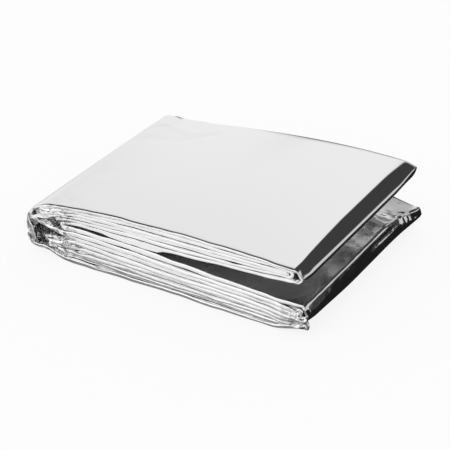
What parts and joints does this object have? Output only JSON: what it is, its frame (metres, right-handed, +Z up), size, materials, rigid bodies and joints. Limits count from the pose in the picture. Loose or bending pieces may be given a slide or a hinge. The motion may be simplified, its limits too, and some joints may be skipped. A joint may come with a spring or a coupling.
{
  "type": "folded emergency foil blanket",
  "caption": "Foil sheet folded back and forth to a rectangular packet, its upper leaf raised from the lower one like a book left ajar.",
  "frame": {"origin": "middle of the packet's footprint, on its underside", "axes": "+X from the folded spine to the open mouth of the two leaves, +Y from the front edge to the back edge, +Z up"},
  "size_m": [0.1374, 0.1002, 0.031],
  "materials": {
    "foil": "bright aluminised film, mirror-like with fine creases"
  },
  "bodies": {
    "root": {"blanket": "foil"}
  },
  "joints": []
}
